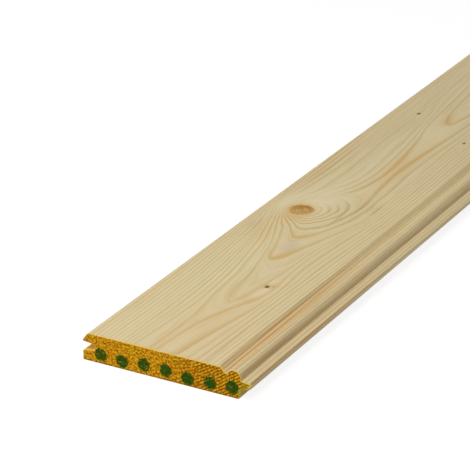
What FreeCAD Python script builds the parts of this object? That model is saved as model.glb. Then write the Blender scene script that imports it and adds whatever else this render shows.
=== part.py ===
"""Beaded tongue and groove board: one length of planed softwood, machined on both edges.

The board lies on its back with the show face up. X runs across it, from the grooved edge to
the tongue, Y runs along it and Z is up. The origin is under the middle of the bounding box.
All sizes are in millimetres and all angles in degrees.
"""

import FreeCAD, Part
import os
from math import atan2, cos, hypot, pi, radians, sin, tan

# The board as a whole
board_length = 900.0
overall_width = 95.0
thickness = 15.0

# Both edges of the show face are chamfered: the grooved edge more steeply, down to its lip, and
# the tongue edge into the V that the bead stands in
lip_chamfer_angle = 54.0
lip_arris_radius = 1.2
v_chamfer_angle = 45.0
v_chamfer_run = 3.9
v_arris_radius = 1.0

# Bead along the tongue edge, with a straight flank down into the V's rounded foot
bead_width = 7.6
bead_drop = 0.2
bead_flank_angle = 60.0
v_foot_radius = 1.0

# Tongue, under the bead's outer wall
bead_wall_height = 1.05
tongue_reach = 5.4
tongue_tip_thickness = 2.7
tongue_top_taper = 7.0
tongue_under_taper = 11.0
tongue_upper_radius = 0.9
tongue_lower_radius = 0.3
back_wall_setback = 1.0

# Groove, cut to take the tongue of the next board
flank_clearance = 0.4
tip_clearance = 2.0
groove_root_radius = 0.3
back_lip_setback = 0.2
back_lip_radius = 0.25

# Nose of the upper lip, which closes against the next board's bead
nose_radius = 0.45

# Two points nearer than this are one
same_point = 1e-6


def rounded_corner(before, corner, after):
    """Gives where a corner's arc starts, its middle and where it ends.

    Each point is (x, z, radius). The arc touches both sides of the corner, and its start and
    end lie at radius / tan(half the angle between the sides) from the corner.
    """
    x, z, radius = corner
    angle_in = atan2(before[1] - z, before[0] - x)
    angle_out = atan2(after[1] - z, after[0] - x)
    half = abs((angle_out - angle_in + pi) % (2.0 * pi) - pi) / 2.0
    reach = radius / tan(half)
    start = (x + reach * cos(angle_in), z + reach * sin(angle_in))
    end = (x + reach * cos(angle_out), z + reach * sin(angle_out))
    middle_x = (start[0] + end[0]) / 2.0 - x
    middle_z = (start[1] + end[1]) / 2.0 - z
    share = (radius / sin(half) - radius) / hypot(middle_x, middle_z)
    middle = (x + share * middle_x, z + share * middle_z)
    return start, middle, end


def closed_outline(corners, y):
    """Joins a ring of (x, z, radius) corners into a wire of lines and arcs at one y."""
    edges = []
    last = None
    first = None
    for i, corner in enumerate(corners):
        if corner[2] > 0.0:
            points = rounded_corner(corners[i - 1], corner, corners[(i + 1) % len(corners)])
        else:
            points = [corner[:2]]
        points = [FreeCAD.Vector(x, y, z) for x, z in points]
        if last is None:
            first = points[0]
        elif last.distanceToPoint(points[0]) > same_point:
            edges.append(Part.LineSegment(last, points[0]).toShape())
        if len(points) == 3:
            edges.append(Part.Arc(*points).toShape())
        last = points[-1]
    if last.distanceToPoint(first) > same_point:
        edges.append(Part.LineSegment(last, first).toShape())
    return Part.Wire(edges)


def board_section():
    """Lists the section's corners clockwise from the back of the grooved edge.

    x is measured here from the lip's nose and z from the back face.
    """
    top_slope = tan(radians(tongue_top_taper))
    under_slope = tan(radians(tongue_under_taper))
    lip_chamfer_slope = tan(radians(lip_chamfer_angle))
    v_chamfer_slope = tan(radians(v_chamfer_angle))
    flank_slope = tan(radians(bead_flank_angle))

    # Bead: a round that its straight flank touches, and upright on its outer side
    bead_radius = bead_width / 2.0
    bead_outer = overall_width - tongue_reach
    bead_inner = bead_outer - bead_width
    bead_top = thickness - bead_drop
    bead_middle = bead_top - bead_radius
    flank_top = bead_inner + bead_radius * (1.0 - tan(radians(bead_flank_angle) / 2.0))

    # V: its foot is where the chamfer's line and the bead's flank meet
    face_end = bead_inner - v_chamfer_run
    v_rise = thickness + face_end * v_chamfer_slope - bead_top + flank_top * flank_slope
    v_foot_x = v_rise / (v_chamfer_slope + flank_slope)
    v_foot_z = thickness - (v_foot_x - face_end) * v_chamfer_slope

    # Tongue
    back_wall = bead_outer - back_wall_setback
    tongue_root_top = bead_middle - bead_wall_height
    tongue_tip_top = tongue_root_top - tongue_reach * top_slope
    tongue_tip_under = tongue_tip_top - tongue_tip_thickness
    tongue_root_under = tongue_tip_under - (tongue_reach + back_wall_setback) * under_slope

    # Groove: its flanks run beside the tongue's, with the nose closed on the bead's wall
    groove_root = tongue_reach + tip_clearance
    flank_top_at_nose = tongue_root_top + flank_clearance
    flank_top_at_root = flank_top_at_nose - groove_root * top_slope
    flank_under_at_tip = tongue_tip_under - flank_clearance
    flank_under_at_root = flank_under_at_tip + tip_clearance * under_slope
    flank_under_at_lip = flank_under_at_tip - (tongue_reach - back_lip_setback) * under_slope

    # Nose: the rounded corner of the upper flank and the chamfer, whose tip is at x = 0
    nose_half_angle = radians(lip_chamfer_angle + tongue_top_taper) / 2.0
    nose_lean = radians(lip_chamfer_angle - tongue_top_taper) / 2.0
    nose_x = nose_radius * (1.0 - cos(nose_lean) / sin(nose_half_angle))
    nose_z = flank_top_at_nose - nose_x * top_slope
    face_start = nose_x + (thickness - nose_z) / lip_chamfer_slope

    return [
        (back_lip_setback, 0.0, 0.0),
        (back_lip_setback, flank_under_at_lip, back_lip_radius),
        (groove_root, flank_under_at_root, groove_root_radius),
        (groove_root, flank_top_at_root, groove_root_radius),
        (nose_x, nose_z, nose_radius),
        (face_start, thickness, lip_arris_radius),
        (face_end, thickness, v_arris_radius),
        (v_foot_x, v_foot_z, v_foot_radius),
        (flank_top, bead_top, bead_radius),
        (bead_outer, bead_top, bead_radius),
        (bead_outer, tongue_root_top, 0.0),
        (overall_width, tongue_tip_top, tongue_upper_radius),
        (overall_width, tongue_tip_under, tongue_lower_radius),
        (back_wall, tongue_root_under, 0.0),
        (back_wall, 0.0, 0.0),
    ]


def make_board():
    """Runs the section along the board, centred on the origin across and along it."""
    centred = [(x - overall_width / 2.0, z, radius) for x, z, radius in board_section()]
    outline = closed_outline(centred, -board_length / 2.0)
    return Part.Face(outline).extrude(FreeCAD.Vector(0.0, board_length, 0.0))


os.makedirs("parts", exist_ok=True)
board = make_board()
board.exportStep("parts/board.step")
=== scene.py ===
"""Looks of a beaded tongue and groove board: one length of planed softwood, painted on one end.

The board lies on its back with the show face up. X runs across it, from the grooved edge to
the tongue, Y runs along it from the painted end, and Z is up. Lengths are in metres. Places on
the show face are in millimetres, across from the lip's nose and along from the painted end,
as a maker would mark them.
"""

import logging
import math
from dataclasses import dataclass
from enum import Enum
from functools import cached_property

import bpy
import numpy as np
from mathutils import Euler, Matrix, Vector
from mathutils.geometry import delaunay_2d_cdt


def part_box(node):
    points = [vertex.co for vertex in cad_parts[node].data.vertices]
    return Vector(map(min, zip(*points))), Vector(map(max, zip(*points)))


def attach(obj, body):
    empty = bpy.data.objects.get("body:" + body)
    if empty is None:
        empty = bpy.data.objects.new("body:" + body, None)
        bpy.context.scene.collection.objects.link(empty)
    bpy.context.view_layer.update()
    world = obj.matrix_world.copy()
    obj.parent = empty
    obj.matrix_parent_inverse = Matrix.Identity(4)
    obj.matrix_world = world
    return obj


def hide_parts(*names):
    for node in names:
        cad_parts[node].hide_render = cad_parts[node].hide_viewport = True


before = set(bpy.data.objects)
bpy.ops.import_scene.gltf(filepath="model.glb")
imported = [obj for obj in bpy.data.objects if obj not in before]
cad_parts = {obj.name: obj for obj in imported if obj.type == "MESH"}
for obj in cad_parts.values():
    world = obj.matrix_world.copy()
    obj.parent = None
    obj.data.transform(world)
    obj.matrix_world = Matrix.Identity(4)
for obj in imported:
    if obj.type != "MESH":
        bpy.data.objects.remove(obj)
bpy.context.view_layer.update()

MM = 0.001
SPACING_SAMPLES = 6001
INSIDE_TRIANGLES = 1
log = logging.getLogger("board")

Colour = tuple[float, float, float, float]
Point = tuple[float, float]
Triple = tuple[float, float, float]
Socket = bpy.types.NodeSocket


class Coat(Enum):
    """What a face of the board shows. The value is its place among the mesh's materials."""

    PLANED = 0
    PAINTED = 1
    SAWN = 2


class KnotKind(Enum):
    """How a knot marks the board."""

    BRANCH = "branch"
    PIN = "pin"


class Attribute(Enum):
    """Names of the values that the board's points carry for its finishes."""

    RINGS = "growth_rings"
    KNOT = "knot_place"
    STAIN = "stain"
    FIGURE = "figure_strength"
    PACE = "ring_pace"


def screen_colour(red: int, green: int, blue: int) -> Colour:
    """Turns a screen colour into the linear light that shaders use.

    Each channel, as a share c of 255, becomes c / 12.92 in the darkest tones and
    ((c + 0.055) / 1.055) to the power 2.4 in the others.

    Args:
        red: Red, 0 to 255.
        green: Green, 0 to 255.
        blue: Blue, 0 to 255.

    Returns:
        The linear colour, opaque.
    """
    shares = np.array((red, green, blue)) / 255.0
    linear = np.where(shares <= 0.04045, shares / 12.92, ((shares + 0.055) / 1.055) ** 2.4)
    return float(linear[0]), float(linear[1]), float(linear[2]), 1.0


def smooth_step(low: float, high: float, value: np.ndarray) -> np.ndarray:
    """Rises from 0 at low to 1 at high as 3 t squared less 2 t cubed.

    Args:
        low: Where the rise starts.
        high: Where it ends.
        value: Where it is wanted.

    Returns:
        The rise at each value.
    """
    t = np.clip((value - low) / (high - low), 0.0, 1.0)
    return t * t * (3.0 - 2.0 * t)


@dataclass(frozen=True)
class Refinement:
    """A place along a line where points lie closer together."""

    centre: float
    reach: float
    spacing: float


def graded(low: float, high: float, coarse: float,
           refinements: tuple[Refinement, ...]) -> np.ndarray:
    """Places points from low to high, closer together at each refinement.

    The spacing is the coarse one, and falls to a refinement's own as a bell curve of its reach.
    The running total of 1 / spacing is cut into equal parts, and each cut is a point.

    Args:
        low: First point.
        high: Last point.
        coarse: Spacing away from all refinements.
        refinements: Where the points lie closer.

    Returns:
        The points, in order.
    """
    line = np.linspace(low, high, SPACING_SAMPLES)
    spacing = np.full_like(line, coarse)
    for r in refinements:
        bell = np.exp(-(((line - r.centre) / r.reach) ** 4))
        spacing = np.minimum(spacing, coarse - (coarse - r.spacing) * bell)
    density = 1.0 / spacing
    steps = (density[1:] + density[:-1]) / 2.0 * np.diff(line)
    total = np.concatenate([[0.0], np.cumsum(steps)])
    count = int(np.ceil(total[-1]))
    return np.interp(np.linspace(0.0, total[-1], count + 1), total, line)


@dataclass(frozen=True)
class RingLine:
    """One growth ring's line on the show face, marked at the points that it passes.

    A number between two whole ones marks how the count runs between their lines.
    """

    number: float
    points: tuple[Point, ...]

    def marks(self, step: float) -> np.ndarray:
        """Samples a smooth curve through the points.

        Between two points the curve is a cubic whose slope at each is half the way from the
        point before to the point after, so it passes through every one.

        Args:
            step: Longest distance between samples, in millimetres.

        Returns:
            One row of across, along for each sample.
        """
        p = np.array(self.points)
        if len(p) < 2:
            return p
        padded = np.vstack([2.0 * p[0] - p[1], p, 2.0 * p[-1] - p[-2]])
        rows = []
        for a, b, c, d in zip(padded[:-3], padded[1:-2], padded[2:-1], padded[3:]):
            t = np.linspace(0.0, 1.0, 1 + math.ceil(np.hypot(*(c - b)) / step))[:-1, None]
            bend = 2.0 * a - 5.0 * b + 4.0 * c - d
            twist = 3.0 * b - a - 3.0 * c + d
            rows.append(b + 0.5 * t * (c - a + t * (bend + t * twist)))
        return np.vstack([*rows, p[-1:]])


SHOW_FACE_RINGS = (
    RingLine(11, ((5.0, 20), (5.0, 80), (4.2, 120))),
    RingLine(9, ((10, 0), (10, 60), (9.2, 110), (7, 150), (5.4, 167))),
    RingLine(6, ((17, 0), (17.6, 60), (16.4, 100), (13, 148), (10.3, 166), (7, 183))),
    RingLine(4, ((21.8, 0), (22.4, 60), (21.2, 100), (16.9, 148), (11.4, 176), (6, 200))),
    RingLine(2, ((26, 0), (28.4, 55), (26.1, 100), (20.2, 140), (13.2, 171), (7.4, 203),
                 (7.0, 245), (6.4, 300))),
    RingLine(1, ((28.6, 0), (31.4, 55), (28.9, 100), (22.6, 140))),
    RingLine(0, ((37.2, 0), (37.6, 42), (34.8, 70), (32.2, 100), (26, 138), (19.6, 161),
                 (13.6, 182), (11.6, 204), (14, 252), (12.4, 300), (10.6, 340))),
    RingLine(-0.35, ((39.2, 0), (40.2, 22))),
    RingLine(0, ((42.6, 0), (46.3, 37), (52.8, 60), (59.2, 77), (60.6, 92), (58.7, 122),
                 (61.6, 160), (65.6, 190), (66.8, 225), (65.6, 300), (65.4, 350))),
    RingLine(1, ((53.6, 0), (56.8, 25), (61.8, 58), (63.9, 90), (62.9, 125), (66.8, 176),
                 (69, 215), (68.2, 300))),
    RingLine(2, ((61.2, 0), (64, 45), (66.4, 100), (66.3, 125), (71.2, 206), (70.6, 300))),
    RingLine(4, ((68.8, 0), (71.7, 100), (75.6, 210), (75.2, 300))),
    RingLine(6, ((74.4, 0), (76.6, 100), (79.8, 230), (79.4, 300))),
    RingLine(10, ((84.4, 0), (87.4, 200), (88.2, 300))),
    RingLine(-1, ((17.4, 320), (20.6, 268), (21, 245), (18.8, 217), (13.4, 196), (17.4, 174),
                  (23.8, 157), (31.2, 137), (38.2, 104), (41, 79), (45.7, 65), (51, 73),
                  (55.2, 108), (57, 141), (62, 177), (64.6, 220), (63.2, 300))),
    RingLine(-2, ((25.6, 350), (31.6, 275), (31.6, 240), (24, 216), (15, 192), (20.1, 172),
                  (27, 158), (34, 138), (36.8, 126), (40.7, 121), (44.6, 125), (48, 132.5),
                  (54, 155), (61.2, 186), (62.3, 230), (60.5, 300))),
    RingLine(-3, ((28.6, 345), (34.4, 300), (37.2, 252), (33, 226), (20.6, 206), (16.4, 192),
                  (21, 174), (28.4, 165), (34.5, 156), (39.6, 151), (44.2, 155.5),
                  (49.6, 166), (56.6, 191), (57.3, 226), (55.6, 265), (56.5, 300),
                  (57.6, 325))),
    RingLine(-4, ((27, 390), (31.9, 335), (37.2, 306), (42.1, 260), (38.4, 228), (29.5, 213),
                  (17.4, 193), (21.4, 176.5), (28.4, 169.5), (33, 164.5), (37.4, 162.8),
                  (41.6, 165.6), (47.8, 175), (53.1, 204), (50.2, 243), (49, 260),
                  (50.9, 299), (54, 340))),
    RingLine(-5, ((24, 202), (31, 208), (39, 211.5), (47, 203), (46.8, 188), (40.7, 176),
                  (33.2, 170), (24.8, 175.5), (21.6, 179))),
    RingLine(-4.5, ((43.5, 306),)),
    RingLine(-4.65, ((41.8, 327),)),
    RingLine(-5, ((31, 402), (34.0, 370), (36.3, 354), (41.2, 340), (45.4, 346), (48, 358),
                  (52, 385))),
    RingLine(-5.4, ((40.5, 366),)),
    RingLine(-6, ((29, 202), (36, 205), (43.8, 197), (41.2, 183.5), (34, 174.5))),
    RingLine(-6, ((32.5, 475), (38, 432), (42, 420), (45.5, 432), (51.5, 480))),
    RingLine(-7, ((34, 200), (39.6, 193), (37.4, 183), (34.4, 178.6))),
    RingLine(-8, ((32.4, 196.5), (35.8, 190), (33.6, 181.5))),
    RingLine(-11, ((24.7, 187),)),
)


@dataclass(frozen=True)
class Places:
    """Places in the board, in millimetres.

    They are measured across from the lip's nose, along from the painted end and down from
    the show face.
    """

    across: np.ndarray
    along: np.ndarray
    depth: np.ndarray

    def flat(self) -> np.ndarray:
        """Gives rows of across and along."""
        return np.column_stack([self.across, self.along])


@dataclass(frozen=True)
class Knot:
    """A knot in the board: an upright elliptic cone whose middle leans along the board."""

    kind: KnotKind
    across: float
    along: float
    half_width: float
    half_length: float
    lean: float = 0.0
    spread: float = 0.0

    def local(self, places: Places) -> np.ndarray:
        """Gives places in the knot's own measure, in which its edge is the unit circle.

        The middle moves along the board by the lean times the depth, both half axes grow by
        the spread times the depth, and each offset is divided by its half axis.

        Args:
            places: Places in the board.

        Returns:
            Rows of across offset, along offset and distance.
        """
        growth = self.spread * places.depth
        middle = self.along + self.lean * places.depth
        u = (places.across - self.across) / (self.half_width + growth)
        v = (places.along - middle) / (self.half_length + growth)
        return np.column_stack([u, v, np.hypot(u, v)])


KNOTS = (
    Knot(KnotKind.BRANCH, 24.7, 187.3, 6.8, 7.1, lean=0.35, spread=0.06),
    Knot(KnotKind.BRANCH, 64.0, 655.0, 4.6, 5.6, lean=0.35, spread=0.06),
    Knot(KnotKind.PIN, 55.2, 90.9, 1.05, 1.3),
    Knot(KnotKind.PIN, 19.2, 351.2, 0.8, 1.2),
    Knot(KnotKind.PIN, 63.0, 320.2, 0.7, 1.0),
    Knot(KnotKind.PIN, 33.0, 560.0, 1.1, 1.3),
    Knot(KnotKind.PIN, 51.0, 790.0, 1.2, 1.5),
)


@dataclass(frozen=True)
class Patch:
    """A soft oval on a face of the board where something changes, in millimetres."""

    across: float
    along: float
    half_width: float
    half_length: float
    amount: float

    def strength(self, places: Places) -> np.ndarray:
        """Gives the amount times a bell curve of the distance in half axes."""
        u = (places.across - self.across) / self.half_width
        v = (places.along - self.along) / self.half_length
        return self.amount * np.exp(-(u * u + v * v))


@dataclass(frozen=True)
class PlainFigure:
    """Growth rings over a face on which no line is marked. Lengths are in millimetres."""

    level: float
    sway_length: float
    sway_start: float
    sway_across: float
    sway_rings: float
    sinks: tuple[Patch, ...]
    middle: float = 42.0
    rounding: float = 7.0
    rings_per_mm_across: float = 0.36
    rings_per_mm_along: float = 0.0125

    def count(self, places: Places) -> np.ndarray:
        """Counts rings.

        Across the board the count is a hyperbola, round in the middle and straight towards
        the edges, and it falls steadily along the board. A slow sine sways its middle and its
        level, and it sinks by a soft oval beside each branch knot.

        Args:
            places: Places on the face.

        Returns:
            The count at each place.
        """
        sway = np.sin(places.along / self.sway_length + self.sway_start)
        offset = places.across - self.middle - self.sway_across * sway
        rise = self.rings_per_mm_across * (np.hypot(offset, self.rounding) - self.rounding)
        fall = self.rings_per_mm_along * places.along
        count = self.level + rise - fall + self.sway_rings * sway
        return count - sum(sink.strength(places) for sink in self.sinks)


@dataclass(frozen=True)
class GrowthRings:
    """Counts the tree's rings at any point of the board.

    The count grows outwards in the tree: down into the board and towards both edges.
    """

    lines: tuple[RingLine, ...] = SHOW_FACE_RINGS
    past_lines: PlainFigure = PlainFigure(
        level=-1.225,
        sway_length=83.0,
        sway_start=0.0,
        sway_across=1.6,
        sway_rings=0.35,
        sinks=(Patch(64.0, 655.0, 9.0, 24.0, 4.0),),
    )
    back: PlainFigure = PlainFigure(
        level=-3.3,
        sway_length=97.0,
        sway_start=0.6,
        sway_across=2.0,
        sway_rings=0.6,
        sinks=(Patch(24.7, 192.3, 13.6, 28.4, 4.5), Patch(64.0, 660.0, 9.2, 22.4, 4.5)),
    )
    mark_step: float = 9.0
    net_across: tuple[float, float, int] = (2.0, 92.0, 11)
    net_along: tuple[float, float, int] = (560.0, 920.0, 19)
    along_squeeze: float = 0.35
    least_square: float = 1e-9
    give: float = 0.2
    batch: int = 20000
    rings_per_mm_down: float = 0.57
    face_to: float = 4.0
    back_from: float = 15.0

    def marks(self) -> tuple[np.ndarray, np.ndarray]:
        """Collects the marked lines and a sparse net of places past them.

        Returns:
            Rows of across and along, and the count at each.
        """
        rows = [line.marks(self.mark_step) for line in self.lines]
        counts = [np.full(len(r), float(line.number)) for line, r in zip(self.lines, rows)]
        across, along = np.meshgrid(
            np.linspace(*self.net_across), np.linspace(*self.net_along), indexing="ij"
        )
        net = Places(across.ravel(), along.ravel(), np.zeros(across.size))
        rows.append(net.flat())
        counts.append(self.past_lines.count(net))
        return np.vstack(rows), np.concatenate(counts)

    def kernel(self, rows: np.ndarray, marks: np.ndarray) -> np.ndarray:
        """Gives the thin plate's kernel, r squared times log r, of the squeezed distance.

        Args:
            rows: Across and along of each place.
            marks: Across and along of each mark.

        Returns:
            One row for each place and one column for each mark.
        """
        x = rows[:, None, 0] - marks[None, :, 0]
        y = (rows[:, None, 1] - marks[None, :, 1]) * self.along_squeeze
        squared = x * x + y * y
        return 0.5 * squared * np.log(squared + self.least_square)

    def show_face(self, places: Places) -> np.ndarray:
        """Counts rings on the show face, as a thin plate bent through all marks.

        The plate is a flat slope plus the kernel's sum over the marks, with weights solved so
        that it meets each mark's count but for a little give.

        Args:
            places: Places on the face.

        Returns:
            The count at each place.
        """
        marks, counts = self.marks()
        size = len(marks)
        slope = np.column_stack([np.ones(size), marks])
        bend = self.kernel(marks, marks) + self.give * np.eye(size)
        system = np.block([[bend, slope], [slope.T, np.zeros((3, 3))]])
        weights = np.linalg.solve(system, np.concatenate([counts, np.zeros(3)]))
        rows = places.flat()
        result = weights[size] + rows @ weights[size + 1:]
        for start in range(0, len(rows), self.batch):
            part = slice(start, start + self.batch)
            result[part] += self.kernel(rows[part], marks) @ weights[:size]
        return result

    def count(self, places: Places) -> np.ndarray:
        """Counts rings anywhere in the board.

        The show face's count turns into the back's on the way down, and the depth times the
        rings in each millimetre is added.

        Args:
            places: Places in the board.

        Returns:
            The count at each place.
        """
        share = smooth_step(self.face_to, self.back_from, places.depth)
        face = self.show_face(places)
        mixed = face + share * (self.back.count(places) - face)
        return mixed + self.rings_per_mm_down * places.depth


@dataclass(frozen=True)
class Band:
    """A soft amber band that follows one growth ring's line for a while."""

    ring: float
    offset: float
    half_width: float
    where: Patch
    least_pace: float = 0.02

    def strength(self, places: Places, rings: np.ndarray, pace: np.ndarray) -> np.ndarray:
        """Gives the band's share at each place.

        The distance to the line is the count that is missing over the rings in each
        millimetre. The band is a bell curve of it, times the patch where the band shows.

        Args:
            places: Places in the board.
            rings: The ring count.
            pace: Rings in each millimetre of the surface.

        Returns:
            The share.
        """
        gap = (self.ring - rings) / np.maximum(pace, self.least_pace)
        bell = np.exp(-(((gap - self.offset) / self.half_width) ** 2))
        return bell * self.where.strength(places)


# Amber that follows a growth ring's line
AMBER_BANDS = (
    Band(-2.0, 1.8, 2.6, Patch(43.5, 130.0, 9.0, 14.0, 1.3)),
    Band(-3.0, 1.5, 2.0, Patch(41.0, 157.0, 7.0, 10.0, 0.9)),
    Band(0.0, 0.6, 2.0, Patch(50.0, 50.0, 9.0, 26.0, 0.6)),
    Band(1.0, 2.4, 2.6, Patch(55.0, 25.0, 7.0, 40.0, 0.5)),
    Band(-4.0, 0.7, 1.8, Patch(40.5, 275.0, 6.0, 50.0, 0.9)),
    Band(-4.0, 0.7, 1.8, Patch(50.0, 275.0, 5.0, 50.0, 1.0)),
    Band(-5.0, 1.6, 2.4, Patch(39.5, 347.0, 6.0, 12.0, 1.0)),
)

# Where the latewood turns amber
AMBER_PATCHES = (
    Patch(39.5, 15.0, 4.0, 45.0, 0.75),
    Patch(53.5, 20.0, 4.5, 40.0, 0.4),
    Patch(20.0, 156.0, 10.0, 18.0, 0.6),
    Patch(40.5, 351.0, 4.0, 10.0, 0.4),
    Patch(45.5, 262.0, 3.0, 24.0, 0.4),
    Patch(57.5, 94.0, 1.2, 3.0, 0.9),
    Patch(55.5, 71.0, 2.6, 4.0, 0.6),
    Patch(42.0, 126.0, 5.0, 8.0, 0.55),
    Patch(42.0, 155.0, 5.0, 7.0, 0.55),
    Patch(42.0, 275.0, 4.0, 34.0, 0.7),
    Patch(49.0, 265.0, 4.0, 36.0, 0.7),
    Patch(60.0, 207.0, 3.0, 9.0, 0.4),
    Patch(50.0, 55.0, 9.0, 26.0, 0.4),
    Patch(57.0, 76.0, 4.0, 7.0, 0.4),
    Patch(58.0, 92.0, 3.0, 3.5, 0.9),
    Patch(6.0, 120.0, 2.2, 400.0, 0.3),
    Patch(8.8, 255.0, 2.4, 45.0, 0.45),
    Patch(22.0, 176.5, 6.0, 6.0, 0.6),
    Patch(81.4, 60.0, 1.5, 130.0, 0.4),
    Patch(27.0, 176.0, 9.0, 7.0, 0.5),
    Patch(83.0, 60.0, 2.2, 90.0, 0.8),
    Patch(64.0, 646.0, 7.0, 10.0, 0.5),
)

# Where the wood between the lines is paler
PALE_PATCHES = (
    Patch(27.0, 206.0, 9.0, 14.0, 0.9),
    Patch(12.0, 194.0, 5.0, 13.0, 0.8),
    Patch(31.5, 185.0, 4.0, 8.0, 0.6),
    Patch(21.0, 179.0, 4.0, 3.0, 0.5),
    Patch(56.2, 82.5, 3.6, 6.0, 2.2),
    Patch(56.0, 97.0, 3.0, 4.0, 0.8),
    Patch(63.1, 316.0, 2.4, 4.0, 0.9),
    Patch(42.0, 140.0, 5.0, 9.0, 0.3),
    Patch(20.6, 346.5, 2.4, 4.0, 0.9),
)

# Where the lines fade
QUIET_PATCHES = (
    Patch(27.0, 208.0, 11.0, 14.0, 1.0),
    Patch(12.0, 195.0, 5.0, 12.0, 0.8),
    Patch(31.0, 200.0, 5.0, 8.0, 0.3),
    Patch(36.0, 210.0, 8.0, 10.0, 0.7),
    Patch(10.0, 395.0, 16.0, 70.0, 0.6),
    Patch(20.0, 30.0, 16.0, 42.0, 0.35),
    Patch(15.0, 318.0, 12.0, 60.0, 0.55),
)

# Where the lines are stronger
BOLD_PATCHES = (
    Patch(45.0, 265.0, 9.0, 45.0, 0.33),
    Patch(30.0, 172.0, 12.0, 9.0, 0.35),
    Patch(21.5, 173.0, 6.5, 7.5, 1.0),
    Patch(9.0, 255.0, 6.0, 40.0, 0.8),
    Patch(79.5, 30.0, 2.5, 60.0, 0.33),
    Patch(50.0, 198.0, 12.0, 20.0, 0.4),
    Patch(22.0, 158.0, 9.0, 14.0, 0.5),
    Patch(42.0, 150.0, 8.0, 30.0, 0.2),
)

# Thin brown streaks along the board; those on the bead's outer side and on the tongue's upper edge are
# painted shade
STREAKS_AND_PAINTED_SHADE = (
    Patch(78.0, 15.0, 0.5, 36.0, 0.8),
    Patch(77.4, 46.0, 0.45, 22.0, 0.45),
    Patch(78.1, 85.0, 0.5, 40.0, 0.3),
    Patch(79.3, 30.0, 0.4, 120.0, 0.7),
    Patch(85.2, 20.0, 2.0, 70.0, 0.1),
    # Painted shade on the bead's outer side
    Patch(89.3, 20.0, 0.5, 90.0, 0.45),
    # Painted shade along the tongue's rounded upper edge, here and on the next line
    Patch(94.5, 10.0, 0.6, 180.0, 1.0),
    Patch(94.8, 20.0, 0.4, 230.0, 1.2),
    Patch(78.8, 260.0, 1.2, 230.0, 0.12),
    Patch(69.8, 12.0, 0.7, 34.0, 0.4),
    # Painted shade along the whole of the bead's outer side
    Patch(89.2, 200.0, 1.6, 640.0, 0.32),
    Patch(47.6, 189.0, 0.7, 15.0, 0.45),
    Patch(53.0, 207.0, 0.7, 16.0, 0.4),
    Patch(57.7, 206.0, 0.6, 8.0, 0.35),
    Patch(61.6, 207.0, 0.7, 10.0, 0.5),
)

# Resin along the V and beside the first pin knot
RESIN_LINES = (
    Patch(79.3, 30.0, 0.9, 120.0, 0.3),
    Patch(80.8, 30.0, 0.45, 100.0, 0.75),
    Patch(85.0, 60.0, 1.5, 130.0, 0.4),
    Patch(58.1, 92.3, 0.9, 1.5, 0.9),
)

# Painted highlights: lighter lines on the V chamfer near its foot, beside the resin, and along the
# tongue's top, where light falls
PAINTED_HIGHLIGHTS = (
    Patch(80.0, 50.0, 0.45, 105.0, 0.85),
    Patch(93.2, 85.0, 0.6, 45.0, 0.7),
)

# Where close fine lines run along the board
FINE_GRAIN = Patch(11.0, 320.0, 17.0, 115.0, 0.5)

# Where the wood is cool and greyish
COOL_SPOTS = (
    Patch(42.0, 140.5, 5.5, 10.0, 0.45),
    Patch(11.0, 158.0, 3.5, 6.0, 0.4),
)

# How the rings of a sawn end waver: features in a metre, and their share of a ring
END_WAVER: Triple = (300.0, 300.0, 300.0)
END_WAVER_RINGS = 0.3


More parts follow.
